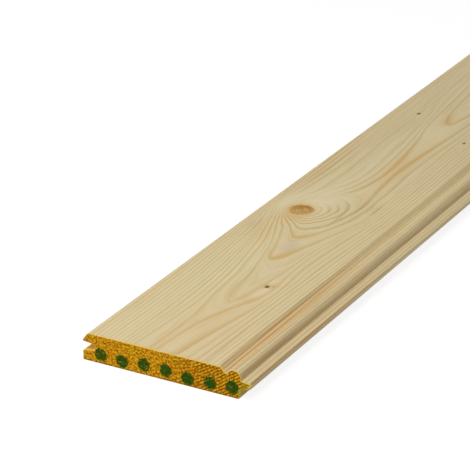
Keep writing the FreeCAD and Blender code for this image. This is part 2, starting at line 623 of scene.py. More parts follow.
@dataclass(frozen=True)
class BoardSection:
    """The planed section, from the outside of the box that the board fills."""

    width: float
    thickness: float
    lip_chamfer_angle: float = 54.0
    lip_arris_radius: float = 1.2 * MM
    v_chamfer_angle: float = 45.0
    v_chamfer_run: float = 3.9 * MM
    v_arris_radius: float = 1.0 * MM
    v_foot_radius: float = 1.0 * MM
    bead_width: float = 7.6 * MM
    bead_drop: float = 0.2 * MM
    bead_flank_angle: float = 60.0
    bead_wall_height: float = 1.05 * MM
    tongue_reach: float = 5.4 * MM
    tongue_tip_thickness: float = 2.7 * MM
    tongue_top_taper: float = 7.0
    tongue_under_taper: float = 11.0
    tongue_upper_radius: float = 0.9 * MM
    tongue_lower_radius: float = 0.3 * MM
    back_wall_setback: float = 1.0 * MM
    flank_clearance: float = 0.4 * MM
    tip_clearance: float = 2.0 * MM
    groove_root_radius: float = 0.3 * MM
    back_lip_setback: float = 0.2 * MM
    back_lip_radius: float = 0.25 * MM
    nose_radius: float = 0.45 * MM
    worn_radius: float = 0.3 * MM
    edge_spacing: float = 1.0 * MM
    back_spacing: float = 3.5 * MM
    arc_step: float = 13.0
    same_point: float = 0.01 * MM

    def corners(self) -> np.ndarray:
        """Lists the corners clockwise from the back of the grooved edge.

        Returns:
            Rows of x from the lip's nose, z from the back, radius, and the spacing of points
            on the straight that follows. A spacing of 0 stands for the show face's own.
        """
        top_slope = math.tan(math.radians(self.tongue_top_taper))
        under_slope = math.tan(math.radians(self.tongue_under_taper))
        lip_slope = math.tan(math.radians(self.lip_chamfer_angle))
        v_slope = math.tan(math.radians(self.v_chamfer_angle))

        bead_radius = self.bead_width / 2.0
        bead_outer = self.width - self.tongue_reach
        bead_inner = bead_outer - self.bead_width
        bead_top = self.thickness - self.bead_drop
        bead_middle = bead_top - bead_radius
        flank_slope = math.tan(math.radians(self.bead_flank_angle))
        flank_share = 1.0 - math.tan(math.radians(self.bead_flank_angle) / 2.0)
        flank_top = bead_inner + bead_radius * flank_share
        face_end = bead_inner - self.v_chamfer_run
        v_rise = self.thickness + face_end * v_slope - bead_top + flank_top * flank_slope
        v_foot_x = v_rise / (v_slope + flank_slope)
        v_foot = self.thickness - (v_foot_x - face_end) * v_slope

        back_wall = bead_outer - self.back_wall_setback
        root_top = bead_middle - self.bead_wall_height
        tip_top = root_top - self.tongue_reach * top_slope
        tip_under = tip_top - self.tongue_tip_thickness
        root_under = tip_under - (self.tongue_reach + self.back_wall_setback) * under_slope

        groove_root = self.tongue_reach + self.tip_clearance
        flank_top_at_nose = root_top + self.flank_clearance
        flank_top_at_root = flank_top_at_nose - groove_root * top_slope
        flank_under_at_tip = tip_under - self.flank_clearance
        flank_under_at_root = flank_under_at_tip + self.tip_clearance * under_slope
        lip_run = self.tongue_reach - self.back_lip_setback
        flank_under_at_lip = flank_under_at_tip - lip_run * under_slope

        nose_half_angle = math.radians(self.lip_chamfer_angle + self.tongue_top_taper) / 2.0
        nose_lean = math.radians(self.lip_chamfer_angle - self.tongue_top_taper) / 2.0
        nose_x = self.nose_radius * (1.0 - math.cos(nose_lean) / math.sin(nose_half_angle))
        nose_z = flank_top_at_nose - nose_x * top_slope
        face_start = nose_x + (self.thickness - nose_z) / lip_slope

        worn = self.worn_radius
        near = self.edge_spacing
        return np.array([
            (self.back_lip_setback, 0.0, worn, near),
            (self.back_lip_setback, flank_under_at_lip, self.back_lip_radius, near),
            (groove_root, flank_under_at_root, self.groove_root_radius, near),
            (groove_root, flank_top_at_root, self.groove_root_radius, near),
            (nose_x, nose_z, self.nose_radius, near),
            (face_start, self.thickness, self.lip_arris_radius, 0.0),
            (face_end, self.thickness, self.v_arris_radius, near),
            (v_foot_x, v_foot, self.v_foot_radius, near),
            (flank_top, bead_top, bead_radius, near),
            (bead_outer, bead_top, bead_radius, near),
            (bead_outer, root_top, worn, near),
            (self.width, tip_top, self.tongue_upper_radius, near),
            (self.width, tip_under, self.tongue_lower_radius, near),
            (back_wall, root_under, worn, near),
            (back_wall, 0.0, worn, self.back_spacing),
        ])

    def outline(self, face_places: np.ndarray) -> np.ndarray:
        """Walks round the corners and gives the section's points.

        A corner's arc touches both its sides at radius / tan(half its angle) from the corner,
        and its middle is radius / sin(half its angle) away on the bisector. The arc is the
        turn from its first radius to its last in equal angles. Straights are cut evenly, but
        for the show face, which takes the places given.

        Args:
            face_places: Where the show face has points, in metres from the lip's nose.

        Returns:
            Rows of x from the lip's nose and z from the back.
        """
        corners = self.corners()
        spot = corners[:, :2]
        radius = corners[:, 2:3]
        to_last = np.roll(spot, 1, axis=0) - spot
        to_next = np.roll(spot, -1, axis=0) - spot
        to_last /= np.linalg.norm(to_last, axis=1, keepdims=True)
        to_next /= np.linalg.norm(to_next, axis=1, keepdims=True)
        half = np.arccos(np.sum(to_last * to_next, axis=1, keepdims=True)) / 2.0
        reach = radius / np.tan(half)
        start = spot + reach * to_last
        end = spot + reach * to_next
        bisector = (to_last + to_next) / np.linalg.norm(to_last + to_next, axis=1, keepdims=True)
        middle = spot + radius / np.sin(half) * bisector
        turn = np.pi - 2.0 * half[:, 0]

        rows = []
        for i, spacing in enumerate(corners[:, 3]):
            steps = max(2, math.ceil(math.degrees(turn[i]) / self.arc_step))
            t = np.linspace(0.0, 1.0, steps + 1)[:, None]
            first = np.sin((1.0 - t) * turn[i]) * (start[i] - middle[i])
            last = np.sin(t * turn[i]) * (end[i] - middle[i])
            rows.append(middle[i] + (first + last) / np.sin(turn[i]))
            goal = start[(i + 1) % len(corners)]
            if spacing > 0.0:
                cuts = max(1, math.ceil(np.hypot(*(goal - end[i])) / spacing))
                rows.append(end[i] + np.linspace(0.0, 1.0, cuts + 1)[1:-1, None] * (goal - end[i]))
            else:
                inside = (face_places > end[i, 0]) & (face_places < goal[0])
                across = face_places[inside]
                rows.append(np.column_stack([across, np.full(len(across), self.thickness)]))
        points = np.vstack(rows)
        step = np.linalg.norm(points - np.roll(points, 1, axis=0), axis=1)
        return points[step > self.same_point]

    @staticmethod
    def outward(points: np.ndarray) -> np.ndarray:
        """Gives the outward direction at each point of an outline.

        It halves the angle between the two neighbouring sides' outward directions, each a
        quarter turn to the left of the way round, and is as long as keeps a mitre's width.

        Args:
            points: The outline, clockwise.

        Returns:
            One direction for each point.
        """
        side = np.roll(points, -1, axis=0) - points
        side /= np.linalg.norm(side, axis=1, keepdims=True)
        normal = np.column_stack([-side[:, 1], side[:, 0]])
        both = normal + np.roll(normal, 1, axis=0)
        return 2.0 * both / np.sum(both * both, axis=1, keepdims=True)


class NodeSheet:
    """The shader nodes of a material or of the sky, written as sums of plain steps."""

    def __init__(self, owner: bpy.types.Material | bpy.types.World) -> None:
        """Starts an empty sheet for that material or world."""
        self.owner = owner
        owner.use_nodes = True
        self.nodes = owner.node_tree.nodes
        self.links = owner.node_tree.links
        self.nodes.clear()

    def add(self, kind: str, inputs: dict[int | str, object], **settings: object) -> bpy.types.Node:
        """Adds a node.

        Args:
            kind: The node's Blender type.
            inputs: What goes into its inputs, by place or name: a socket or a plain value.
            **settings: Its own properties.

        Returns:
            The node.
        """
        node = self.nodes.new(kind)
        for name, value in settings.items():
            setattr(node, name, value)
        for key, value in inputs.items():
            if isinstance(value, Socket):
                self.links.new(value, node.inputs[key])
            else:
                node.inputs[key].default_value = value
        return node

    def math(self, operation: str, *values: object) -> Socket:
        """Works out one sum on numbers."""
        return self.add("ShaderNodeMath", dict(enumerate(values)), operation=operation).outputs[0]

    def times(self, value: object, factor: object) -> Socket:
        """Multiplies a value by a factor."""
        return self.math("MULTIPLY", value, factor)

    def minus(self, value: object, less: object) -> Socket:
        """Takes one value from another."""
        return self.math("SUBTRACT", value, less)

    def times_plus(self, value: object, factor: object, extra: object) -> Socket:
        """Multiplies a value by a factor, then adds the extra."""
        return self.math("MULTIPLY_ADD", value, factor, extra)

    @cached_property
    def place(self) -> Socket:
        """The place on the object, in metres."""
        return self.add("ShaderNodeTexCoord", {}).outputs["Object"]

    @cached_property
    def axes(self) -> tuple[Socket, Socket, Socket]:
        """The place's parts: across, along and up."""
        return self.parts(self.place)

    def parts(self, vector: Socket) -> tuple[Socket, Socket, Socket]:
        """Takes a vector apart."""
        node = self.add("ShaderNodeSeparateXYZ", {0: vector})
        return node.outputs[0], node.outputs[1], node.outputs[2]

    def joined(self, x: object, y: object, z: object) -> Socket:
        """Puts a vector together."""
        return self.add("ShaderNodeCombineXYZ", {0: x, 1: y, 2: z}).outputs[0]

    def length(self, vector: Socket) -> Socket:
        """Measures a vector."""
        return self.add("ShaderNodeVectorMath", {0: vector}, operation="LENGTH").outputs["Value"]

    def mapped(self, vector: Socket, scale: Triple, middle: Triple = (0.0, 0.0, 0.0)) -> Socket:
        """Centres a vector on a place, then scales it.

        Args:
            vector: What is mapped.
            scale: Factor on each axis.
            middle: The place that becomes the origin.

        Returns:
            The mapped vector.
        """
        back = tuple(-m * s for m, s in zip(middle, scale))
        inputs = {"Vector": vector, "Scale": scale, "Location": back}
        return self.add("ShaderNodeMapping", inputs).outputs[0]

    def number(self, attribute: Attribute) -> Socket:
        """Reads one of the board's own numbers."""
        return self.add("ShaderNodeAttribute", {}, attribute_name=attribute.value).outputs["Fac"]

    def vector(self, attribute: Attribute) -> Socket:
        """Reads one of the board's own vectors."""
        return self.add("ShaderNodeAttribute", {}, attribute_name=attribute.value).outputs["Vector"]

    def chance(self, whole: Socket) -> Socket:
        """Gives each whole number a share of its own, 0 to 1."""
        node = self.add("ShaderNodeTexWhiteNoise", {"W": whole}, noise_dimensions="1D")
        return node.outputs["Value"]

    def noise(self, vector: Socket, detail: float = 2.0, rough: float = 0.5) -> Socket:
        """Gives smooth noise, mostly 0.25 to 0.75, with about one feature in each unit.

        Args:
            vector: Where it is read.
            detail: How many finer layers it has.
            rough: How strong the finer layers are.

        Returns:
            The noise.
        """
        inputs = {"Vector": vector, "Scale": 1.0, "Detail": detail, "Roughness": rough}
        return self.add("ShaderNodeTexNoise", inputs).outputs["Fac"]

    def grain(self, scale: Triple, detail: float = 2.0, rough: float = 0.5) -> Socket:
        """Gives smooth noise over the object, which may be drawn out along an axis.

        Args:
            scale: How many features in each metre across, along and up.
            detail: How many finer layers it has.
            rough: How strong the finer layers are.

        Returns:
            The noise.
        """
        return self.noise(self.mapped(self.place, scale), detail, rough)

    def span(self, value: object, low: float, high: object, first: float = 0.0,
             last: float = 1.0) -> Socket:
        """Goes smoothly from first to last as the value goes from low to high.

        Args:
            value: What is followed.
            low: Where the change starts.
            high: Where it ends.
            first: Result at low.
            last: Result at high.

        Returns:
            The result.
        """
        inputs = {0: value, 1: low, 2: high, 3: first, 4: last}
        return self.add("ShaderNodeMapRange", inputs, interpolation_type="SMOOTHSTEP").outputs[0]

    def blend(self, amount: object, first: object, second: object, mode: str = "MIX") -> Socket:
        """Mixes two colours.

        Args:
            amount: Share of the second.
            first: The first colour.
            second: The second colour.
            mode: How they mix.

        Returns:
            The mixed colour.
        """
        inputs = {0: amount, 6: first, 7: second}
        return self.add("ShaderNodeMix", inputs, data_type="RGBA", blend_type=mode).outputs[2]

    def ring_share(self) -> Socket:
        """Gives how far through its growth ring each place on a sawn end is, 0 to 1."""
        waver = self.grain(END_WAVER)
        count = self.times_plus(waver, END_WAVER_RINGS, self.number(Attribute.RINGS))
        return self.math("FRACT", count)

    def seen(self) -> Socket:
        """Is 1 where the camera looks straight on or by way of a mirror or glass, and else 0."""
        path = self.add("ShaderNodeLightPath", {})
        straight = self.math("MAXIMUM", path.outputs["Is Camera Ray"], path.outputs["Is Glossy Ray"])
        return self.math("MAXIMUM", straight, path.outputs["Is Transmission Ray"])

    def surface(self, colour: Socket, rough: object, shine: float, relief: Socket,
                relief_strength: float, relief_depth: float) -> bpy.types.Material:
        """Finishes the material as one surface with a fine relief.

        Args:
            colour: Its colour.
            rough: How matt it is, 0 to 1.
            shine: How strongly it mirrors, 0 to 1.
            relief: The relief's height at each place.
            relief_strength: How strongly the relief shows, 0 to 1.
            relief_depth: How far a height of 1 stands out, in metres.

        Returns:
            The material.
        """
        shape = {"Strength": relief_strength, "Distance": relief_depth, "Height": relief}
        inputs = {
            "Base Color": colour,
            "Roughness": rough,
            "Specular IOR Level": shine,
            "Normal": self.add("ShaderNodeBump", shape).outputs[0],
        }
        return self.finish(self.add("ShaderNodeBsdfPrincipled", inputs).outputs[0])

    def finish(self, shader: Socket) -> bpy.types.Material | bpy.types.World:
        """Puts the shader on the surface or the sky, and gives the material or world."""
        kind = "World" if isinstance(self.owner, bpy.types.World) else "Material"
        self.add(f"ShaderNodeOutput{kind}", {0: shader})
        return self.owner


@dataclass(frozen=True)
class PlanedSoftwood:
    """Pale planed wood with yellow-brown latewood lines, branch knots and pin knots.

    A grain says how many features its noise has in a metre across, along and up. The band,
    core and step of a ring's dark line are in millimetres from its outside.
    """

    left: float
    front: float
    face_height: float
    name: str = "planed_softwood"
    early: Colour = screen_colour(220, 204, 161)
    late: Colour = screen_colour(184, 153, 92)
    warm: Colour = screen_colour(213, 193, 150)
    amber: Colour = screen_colour(200, 154, 78)
    gold: Colour = screen_colour(200, 160, 80)
    pale: Colour = screen_colour(228, 213, 176)
    knot_heart: Colour = screen_colour(188, 149, 82)
    knot_fleck: Colour = screen_colour(216, 184, 122)
    knot_bark: Colour = screen_colour(166, 118, 44)
    knot_halo: Colour = screen_colour(208, 166, 94)
    pin_core: Colour = screen_colour(112, 80, 26)
    pin_rim: Colour = screen_colour(184, 134, 62)
    paint_creep: Colour = screen_colour(226, 188, 78)
    paint_seep: Colour = screen_colour(232, 184, 62)
    paint_smear: Colour = screen_colour(190, 176, 48)
    # Brown of the grain streaks, also used for the painted shade on the bead's outer side and the
    # tongue's upper edge
    streak_and_shade: Colour = screen_colour(160, 120, 70)
    resin: Colour = screen_colour(196, 146, 78)
    # Colour of the painted highlights on the V chamfer and along the tongue's top
    light: Colour = screen_colour(234, 204, 154)
    cool: Colour = screen_colour(188, 168, 144)
    sway_grain: Triple = (230.0, 16.0, 230.0)
    sway_rings: float = 0.26
    least_pace: float = 0.03
    rise_power: float = 1.4
    band_from: float = 1.5
    band_to: float = 8.5
    core_from: float = 0.6
    core_to: float = 3.0
    step_length: float = 0.4
    step_rings: float = 0.15
    faintest_ring: float = 0.55
    broad_grain: Triple = (26.0, 7.0, 26.0)
    run_rows: float = 5.0
    run_lengths: float = 18.0
    fibre_grain: Triple = (2600.0, 55.0, 2600.0)
    canal_grain: Triple = (3400.0, 240.0, 3400.0)
    lump_grain: Triple = (230.0, 170.0, 230.0)
    fleck_slant: float = 0.6
    fleck_rows: float = 950.0
    fleck_lengths: float = 240.0
    pin_grain: Triple = (800.0, 500.0, 800.0)
    pin_depth: float = 3.0 * MM
    oval_grain: Triple = (900.0, 22.0, 900.0)
    oval_depth: float = 9.0 * MM
    fine_pitch: float = 1.65 * MM
    drift_grain: Triple = (60.0, 6.0, 60.0)
    drift_lines: float = 3.0
    paint_grain: Triple = (380.0, 420.0, 380.0)
    creep_raggedness: float = 4.6 * MM
    smear_raggedness: float = 6.0 * MM
    wall_across: float = 40.5 * MM
    wall_height: float = 5.2 * MM
    groove_across: float = -39.5 * MM
    shine: float = 0.16
    relief_strength: float = 0.35
    relief_depth: float = 0.18 * MM

    def figure(self, sheet: NodeSheet) -> tuple[Socket, Socket]:
        """Draws the latewood lines.

        Each ring darkens towards its outside and ends in a quick step back to pale. In a wide
        ring the dark keeps to the last few millimetres. The lines sway a little, and each ring
        has its own strength.

        Args:
            sheet: The material's nodes.

        Returns:
            The latewood's share and the swayed ring count.
        """
        sway = sheet.grain(self.sway_grain, detail=3.0)
        rings = sheet.number(Attribute.RINGS)
        count = sheet.times_plus(sheet.minus(sway, 0.5), self.sway_rings, rings)
        within = sheet.math("FRACT", count)
        pace = sheet.math("MAXIMUM", sheet.number(Attribute.PACE), self.least_pace)
        from_edge = sheet.math("DIVIDE", sheet.minus(1.0, within), pace)
        rise = sheet.math("POWER", sheet.span(within, 0.25, 0.92), self.rise_power)
        band = sheet.span(from_edge, self.band_from, self.band_to, 0.55, 0.0)
        core = sheet.span(from_edge, self.core_from, self.core_to, 0.5, 0.0)
        late = sheet.times(rise, sheet.math("ADD", band, core))
        step = sheet.math("MINIMUM", self.step_length, sheet.math("DIVIDE", self.step_rings, pace))
        late = sheet.times(late, sheet.span(from_edge, 0.0, step))
        own = sheet.chance(sheet.math("FLOOR", count))
        late = sheet.times(late, sheet.times_plus(own, 1.0 - self.faintest_ring, self.faintest_ring))
        return sheet.times(late, sheet.number(Attribute.FIGURE)), count

    def knots(self, sheet: NodeSheet, wood: Socket) -> tuple[Socket, Socket]:
        """Lays the branch knots over the wood.

        A knot's near half is tan with pale flecks and its far half dark brown. A pale rim
        stands before it, and a warm halo fades into the wood all round.

        Args:
            sheet: The material's nodes.
            wood: The wood's colour so far.

        Returns:
            The colour, and how far each point is in a knot.
        """
        _, ahead, distance = sheet.parts(sheet.vector(Attribute.KNOT))
        lumps = sheet.minus(sheet.grain(self.lump_grain), 0.5)
        ragged = sheet.times_plus(lumps, 0.34, distance)
        turned = sheet.times_plus(lumps, 1.6, ahead)
        inside = sheet.span(ragged, 0.8, 1.12, 1.0, 0.0)

        across, along, _ = sheet.axes
        row = sheet.times(sheet.times_plus(along, self.fleck_slant, across), self.fleck_rows)
        flecks = sheet.noise(sheet.joined(row, sheet.times(along, self.fleck_lengths), 0.0))
        near_side = sheet.span(turned, -0.2, 0.8, 0.85, 0.3)
        fleck = sheet.times(sheet.span(flecks, 0.54, 0.68), near_side)
        dark = sheet.times(sheet.span(turned, -0.45, 0.55), sheet.span(ragged, 0.0, 0.6, 0.55, 1.0))
        heart = sheet.blend(dark, self.knot_heart, self.knot_bark)
        heart = sheet.blend(fleck, heart, self.knot_fleck)

        halo = sheet.times(sheet.span(ragged, 1.0, 1.7, 1.0, 0.0), 0.38)
        around = sheet.blend(halo, wood, self.knot_halo)
        before = sheet.span(ahead, -0.9, -0.1, 0.7, 0.0)
        rim = sheet.times(sheet.span(ragged, 1.05, 1.5, 1.0, 0.0), before)
        around = sheet.blend(rim, around, self.knot_fleck)
        return sheet.blend(inside, around, heart), inside

    def from_middle(self, sheet: NodeSheet, oval: Patch | Knot, depth: float) -> Socket:
        """Measures the distance from an oval's middle on the show face, in its half axes.

        Args:
            sheet: The material's nodes.
            oval: The patch or knot.
            depth: Its half axis down into the board, in metres.

        Returns:
            The distance.
        """
        middle = (self.left + oval.across * MM, self.front + oval.along * MM, self.face_height)
        scale = (1.0 / (oval.half_width * MM), 1.0 / (oval.half_length * MM), 1.0 / depth)
        return sheet.length(sheet.mapped(sheet.place, scale, middle))

    def pins(self, sheet: NodeSheet, wood: Socket) -> tuple[Socket, Socket]:
        """Lays the pin knots over the wood, each a dark brown dot in an orange-brown halo.

        Args:
            sheet: The material's nodes.
            wood: The wood's colour so far.

        Returns:
            The colour, and how deep each point is in a pin knot.
        """
        pins = [knot for knot in KNOTS if knot.kind is KnotKind.PIN]
        nearest = self.from_middle(sheet, pins[0], self.pin_depth)
        for pin in pins[1:]:
            distance = self.from_middle(sheet, pin, self.pin_depth)
            nearest = sheet.math("MINIMUM", nearest, distance)
        lumps = sheet.minus(sheet.grain(self.pin_grain), 0.5)
        ragged = sheet.times_plus(lumps, 1.1, nearest)
        core = sheet.span(ragged, 0.7, 1.25, 1.0, 0.0)
        rim = sheet.times(sheet.span(ragged, 0.9, 2.6, 1.0, 0.0), 0.5)
        colour = sheet.blend(rim, wood, self.pin_rim)
        return sheet.blend(core, colour, self.pin_core), core

    def ovals(self, sheet: NodeSheet, wood: Socket, patches: tuple[Patch, ...],
              colour: Colour) -> Socket:
        """Lays ovals of one colour over the wood, each fading from its middle to its edge.

        Args:
            sheet: The material's nodes.
            wood: The wood's colour so far.
            patches: The ovals.
            colour: Their colour.

        Returns:
            The colour.
        """
        broken = sheet.span(sheet.grain(self.oval_grain), 0.3, 0.6, 0.5, 1.0)
        for patch in patches:
            distance = self.from_middle(sheet, patch, self.oval_depth)
            inside = sheet.span(distance, 0.2, 1.3, patch.amount, 0.0)
            wood = sheet.blend(sheet.times(inside, broken), wood, colour)
        return wood

    def fine_lines(self, sheet: NodeSheet, wood: Socket) -> Socket:
        """Draws close even lines along the board in the oval where the wood has them.

        Args:
            sheet: The material's nodes.
            wood: The wood's colour so far.

        Returns:
            The colour.
        """
        distance = self.from_middle(sheet, FINE_GRAIN, self.oval_depth)
        inside = sheet.span(distance, 0.6, 1.15, FINE_GRAIN.amount, 0.0)
        drift = sheet.grain(self.drift_grain)
        row = sheet.times(sheet.axes[0], 1.0 / self.fine_pitch)
        row = sheet.times_plus(drift, self.drift_lines, row)
        within = sheet.math("FRACT", row)
        own = sheet.span(sheet.chance(sheet.math("FLOOR", row)), 0.0, 1.0, 0.45, 1.0)
        line = sheet.times(sheet.span(within, 0.25, 0.75), sheet.span(within, 0.75, 1.0, 1.0, 0.0))
        return sheet.blend(sheet.times(sheet.times(line, own), inside), wood, self.late)

    def paint_edge(self, sheet: NodeSheet, wood: Socket) -> Socket:
        """Lets the end's paint creep a little way along the board.

        On the faces it is a thin ragged fringe of yellow, which seeps further into the groove.
        On the back wall below the tongue it is a wider smear of paint and green ink.

        Args:
            sheet: The material's nodes.
            wood: The wood's colour so far.

        Returns:
            The colour.
        """
        across, along, height = sheet.axes
        from_front = sheet.minus(along, self.front)
        ragged = sheet.grain(self.paint_grain, detail=3.0, rough=0.65)
        creep = sheet.times_plus(ragged, -self.creep_raggedness, from_front)
        colour = sheet.blend(sheet.span(creep, -2.2 * MM, -0.8 * MM, 0.85, 0.0), wood, self.paint_creep)

        reach = sheet.times_plus(ragged, -self.smear_raggedness, from_front)
        on_wall = sheet.math("GREATER_THAN", across, self.wall_across)
        below = sheet.math("LESS_THAN", height, self.wall_height)
        smear = sheet.times(sheet.span(reach, 1.0 * MM, 7.0 * MM, 0.95, 0.0), on_wall)
        colour = sheet.blend(sheet.times(smear, below), colour, self.paint_smear)

        in_groove = sheet.math("LESS_THAN", across, self.groove_across)
        in_groove = sheet.times(in_groove, sheet.span(height, 4.0 * MM, 4.5 * MM))
        in_groove = sheet.times(in_groove, sheet.span(height, 10.2 * MM, 10.6 * MM, 1.0, 0.0))
        seep = sheet.times(sheet.span(reach, 1.0 * MM, 11.0 * MM, 0.9, 0.0), in_groove)
        return sheet.blend(seep, colour, self.paint_seep)

    def make(self) -> bpy.types.Material:
        """Builds the material.

        The ground and the latewood come first, then the ovals, the fibres, the knots and the
        paint, each laid over what is there.

        Returns:
            The material.
        """
        sheet = NodeSheet(bpy.data.materials.new(self.name))
        late, count = self.figure(sheet)
        amber, pale, band = sheet.parts(sheet.vector(Attribute.STAIN))

        broad = sheet.grain(self.broad_grain)
        ground = sheet.blend(sheet.span(broad, 0.35, 0.65, 0.0, 0.5), self.early, self.warm)
        ground = sheet.blend(sheet.times(pale, 0.6), ground, self.pale)
        run = sheet.times(sheet.axes[1], self.run_lengths)
        runs = sheet.noise(sheet.joined(sheet.times(count, self.run_rows), run, 0.0), 3.0, 0.6)
        late_colour = sheet.blend(amber, self.late, self.amber)
        wood = sheet.blend(sheet.times(late, 0.85), ground, late_colour)
        wood = sheet.blend(sheet.span(runs, 0.45, 0.8, 0.0, 0.35), wood, late_colour)
        wood = sheet.blend(sheet.times(amber, 0.25), wood, self.amber)
        wood = sheet.blend(sheet.times(band, 0.45), wood, self.gold)
        wood = self.fine_lines(sheet, wood)
        # Grain streaks, with painted shade on the bead's outer side and along the tongue's upper edge
        wood = self.ovals(sheet, wood, STREAKS_AND_PAINTED_SHADE, self.streak_and_shade)
        wood = self.ovals(sheet, wood, RESIN_LINES, self.resin)
        # Painted highlights on the V chamfer and along the tongue's top
        wood = self.ovals(sheet, wood, PAINTED_HIGHLIGHTS, self.light)
        wood = self.ovals(sheet, wood, COOL_SPOTS, self.cool)

        fibre = sheet.grain(self.fibre_grain, detail=3.0, rough=0.6)
        tone = sheet.span(fibre, 0.3, 0.7, 0.95, 1.04)
        wood = sheet.blend(1.0, wood, sheet.joined(tone, tone, tone), "MULTIPLY")
        canals = sheet.grain(self.canal_grain, detail=1.0)
        wood = sheet.blend(sheet.span(canals, 0.7, 0.78, 0.0, 0.5), wood, self.amber)
        wood, in_knot = self.knots(sheet, wood)
        wood, in_pin = self.pins(sheet, wood)
        wood = self.paint_edge(sheet, wood)

        relief = sheet.times_plus(late, 0.5, fibre)
        relief = sheet.times_plus(in_knot, -0.4, relief)
        relief = sheet.times_plus(in_pin, -3.0, relief)
        rough = sheet.times_plus(late, -0.08, sheet.times_plus(fibre, 0.14, 0.5))
        return sheet.surface(
            wood, rough, self.shine, relief, self.relief_strength, self.relief_depth
        )


@dataclass(frozen=True)
class PaintedEnd:
    """Ochre paint soaked into the sawn end, with its rings showing and a row of green dabs."""

    left: float
    name: str = "painted_end"
    ochre: Colour = screen_colour(200, 144, 0)
    bright: Colour = screen_colour(234, 182, 30)
    brown: Colour = screen_colour(116, 66, 0)
    rust: Colour = screen_colour(186, 72, 6)
    leafy: Colour = screen_colour(150, 142, 10)
    olive: Colour = screen_colour(150, 134, 54)
    green: Colour = screen_colour(2, 72, 2)
    bare: Colour = screen_colour(158, 124, 70)
    rubbed: Colour = screen_colour(226, 184, 104)
    stipple_grain: Triple = (900.0, 900.0, 900.0)
    dot_grain: Triple = (700.0, 700.0, 820.0)
    dot_middle: Triple = (30.0 * MM, 0.0, 10.0 * MM)
    blotch_grain: Triple = (160.0, 160.0, 160.0)
    dab_first: float = 10.5 * MM
    dab_pitch: float = 12.4 * MM
    dab_height: float = 5.2 * MM
    dab_drop: float = 1.2 * MM
    dab_shift: float = 1.6 * MM
    dab_radius: float = 3.8 * MM
    dab_raggedness: float = 3.0 * MM
    dab_grain: Triple = (480.0, 480.0, 480.0)
    ink_grain: Triple = (650.0, 650.0, 650.0)
    lip_height: float = 8.0 * MM
    tongue_across: float = 42.1 * MM
    corner_across: float = 93.0 * MM
    corner_height: float = 6.1 * MM
    corner_lean: float = 0.69
    rough: float = 0.75
    shine: float = 0.08
    relief_strength: float = 0.5
    relief_depth: float = 0.3 * MM

    def dabs(self, sheet: NodeSheet) -> Socket:
        """Stamps a row of round green dabs, evenly spaced, with thin and missing ink.

        The distance across is taken to the nearest of a row of middles at one pitch.

        Args:
            sheet: The material's nodes.

        Returns:
            The ink's share.
        """
        across, _, height = sheet.axes
        half_pitch = self.dab_pitch / 2.0
        from_first = sheet.minus(across, self.left + self.dab_first - half_pitch)
        nearest = sheet.minus(sheet.math("MODULO", from_first, self.dab_pitch), half_pitch)
        shift = sheet.chance(sheet.math("FLOOR", sheet.math("DIVIDE", from_first, self.dab_pitch)))
        middle = sheet.times_plus(shift, self.dab_shift, self.dab_height - self.dab_drop)
        distance = sheet.length(sheet.joined(nearest, 0.0, sheet.minus(height, middle)))
        lumps = sheet.minus(sheet.grain(self.dab_grain, detail=3.0, rough=0.7), 0.5)
        ragged = sheet.times_plus(lumps, self.dab_raggedness, distance)
        edge = self.dab_radius
        stamp = sheet.span(ragged, edge - 0.7 * MM, edge + 0.2 * MM, 1.0, 0.0)
        ink = sheet.grain(self.ink_grain, rough=0.7)
        return sheet.times(stamp, sheet.span(ink, 0.32, 0.46, 0.55, 1.0))

    def soaked(self, sheet: NodeSheet, line: Socket, stipple: Socket) -> Socket:
        """Soaks the end with ochre, with brown rings that fade to the left and rusty spots.

        Args:
            sheet: The material's nodes.
            line: The share of each ring's dark line.
            stipple: A fine noise.

        Returns:
            The colour.
        """
        dots = sheet.noise(sheet.mapped(sheet.place, self.dot_grain, self.dot_middle), detail=1.0)
        dotted = sheet.times(line, sheet.span(dots, 0.36, 0.5, 0.25, 1.0))
        clear = sheet.span(sheet.axes[0], -10.0 * MM, 26.0 * MM, 0.12, 1.0)
        colour = sheet.blend(sheet.span(stipple, 0.36, 0.5), self.bright, self.ochre)
        colour = sheet.blend(sheet.times(dotted, clear), colour, self.brown)
        colour = sheet.blend(sheet.span(stipple, 0.53, 0.64, 0.0, 0.8), colour, self.brown)
        blotch = sheet.span(sheet.grain(self.blotch_grain, detail=1.0), 0.4, 0.6, 0.3, 1.0)
        rusty = sheet.times(sheet.span(dots, 0.54, 0.66, 0.0, 0.85), blotch)
        return sheet.blend(rusty, colour, self.rust)

    def edges(self, sheet: NodeSheet, paint: Socket, stipple: Socket) -> Socket:
        """Browns the paint's low edge, wears it on the lip and greens it on the tongue.

        Args:
            sheet: The material's nodes.
            paint: The colour so far.
            stipple: A fine noise.

        Returns:
            The colour.
        """
        across, _, height = sheet.axes
        low_edge = sheet.times_plus(stipple, -1.2 * MM, height)
        low = sheet.span(low_edge, -0.4 * MM, 0.8 * MM, 0.6, 0.0)
        colour = sheet.blend(low, paint, self.brown)
        upper = sheet.math("GREATER_THAN", height, self.lip_height)
        nose = sheet.span(across, self.left + 0.8 * MM, self.left + 2.7 * MM, 0.85, 0.0)
        lip = sheet.span(across, self.left, self.left + 1.4 * MM, 0.6, 0.0)
        worn = sheet.math("MAXIMUM", sheet.times(nose, upper), lip)
        colour = sheet.blend(worn, colour, self.olive)
        tongue = sheet.span(across, self.tongue_across, self.tongue_across + 1.0 * MM)
        return sheet.blend(sheet.times(tongue, 0.6), colour, self.leafy)

